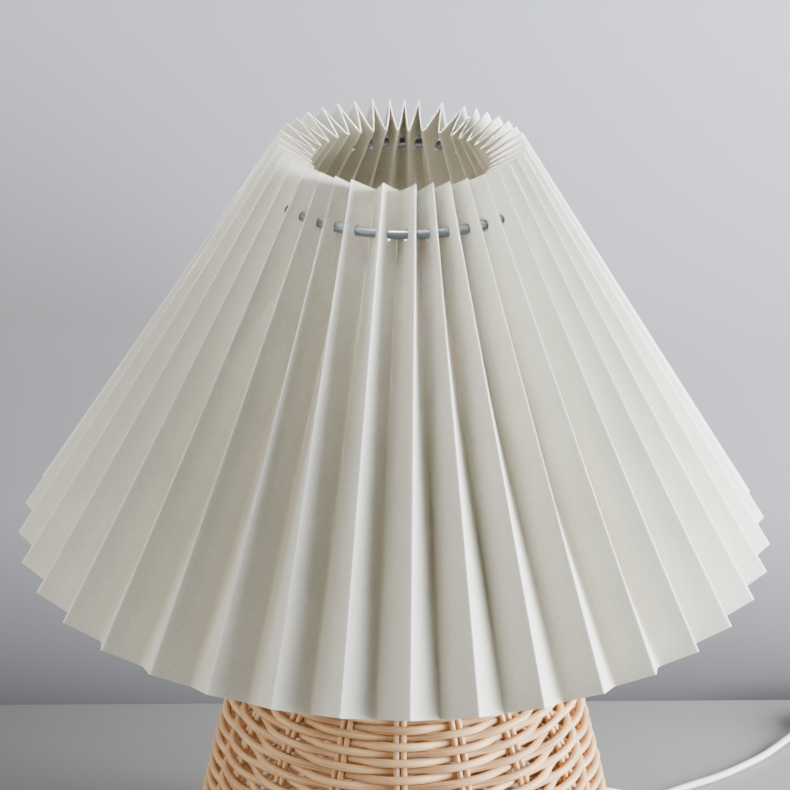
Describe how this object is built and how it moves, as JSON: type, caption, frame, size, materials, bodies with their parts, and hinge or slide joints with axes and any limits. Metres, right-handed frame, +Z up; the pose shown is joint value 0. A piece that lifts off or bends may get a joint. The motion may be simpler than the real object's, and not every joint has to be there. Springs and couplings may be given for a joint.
{
  "type": "table lamp",
  "caption": "Table lamp with a pleated conical fabric shade threaded on a rod ring, a woven rattan body, a lamp holder with bulb, and a white lead with rocker switch and plug.",
  "frame": {"origin": "centre of the underside of the felt pad, on the surface that the lamp stands on", "axes": "+Z up along the lamp's own axis, -Y towards the viewer, +X to the viewer's right"},
  "size_m": [0.5416, 0.3835, 0.431],
  "materials": {
    "linen": "off-white linen laminate, matte, fine weave, sharp pleats",
    "rattan": "natural rattan core, satin, fine lengthwise grain",
    "grey_rod": "grey steel rod, semi-gloss",
    "steel": "zinc or nickel plated",
    "brass": "bright pressed brass",
    "white_plastic": "moulded, semi-gloss",
    "white_sheath": "soft white sheath, satin",
    "ceramic": "unglazed white",
    "opal_glass": "opal white, satin",
    "felt": "grey felt",
    "plywood": "sanded birch plywood"
  },
  "bodies": {
    "base": {"felt_pad": "felt", "base_plate": "plywood", "tube_nut_lower": "steel", "plate_washer": "steel", "tube_nut_plate": "steel", "foot_rim": "rattan", "woven_body": "rattan", "neck_rim": "rattan", "centre_tube": "steel", "neck_plate": "white_plastic", "neck_washer": "steel", "tube_nut_neck": "steel", "neck_spacer": "white_plastic", "holder_cap": "white_plastic", "holder_body": "white_plastic", "holder_insert": "ceramic", "screw_shell": "brass", "centre_contact": "brass", "cord_gland": "white_plastic", "inner_lead": "white_sheath", "cord_to_switch": "white_sheath", "switch_lower": "white_plastic", "switch_upper": "white_plastic", "switch_bridge": "brass", "cord_to_coil": "white_sheath", "cord_coil": "white_sheath", "coil_tie": "white_sheath", "cord_to_plug": "white_sheath", "plug_body": "white_plastic", "plug_pin_1": "steel", "plug_pin_2": "steel"},
    "shade": {"shade_sheet": "linen", "shade_ring": "grey_rod", "shade_collar": "grey_rod", "shade_arm_1": "grey_rod", "shade_arm_2": "grey_rod", "shade_arm_3": "grey_rod"},
    "ring_nut": {"shade_ring_nut": "white_plastic"},
    "bulb": {"bulb_contact": "brass", "bulb_cap": "steel", "bulb_globe": "opal_glass"},
    "rocker": {"switch_rocker": "white_plastic"}
  },
  "joints": [
    {"name": "shade_turn", "type": "hinge", "parent": "base", "child": "shade", "pos_m": [0, 0, 0.2663], "axis": [0, 0, 1], "continuous": true},
    {"name": "shade_nut_turn", "type": "hinge", "parent": "base", "child": "ring_nut", "pos_m": [0, 0, 0.2711], "axis": [0, 0, 1], "continuous": true},
    {"name": "bulb_lift", "type": "slide", "parent": "base", "child": "bulb", "axis": [0, 0, 1], "range_m": [0, 0.16]},
    {"name": "switch_rock", "type": "hinge", "parent": "base", "child": "rocker", "pos_m": [0.27044, 0.18552, 0.0135], "axis": [-0.2588, 0.9659, 0], "range_deg": [-16, 0]}
  ]
}
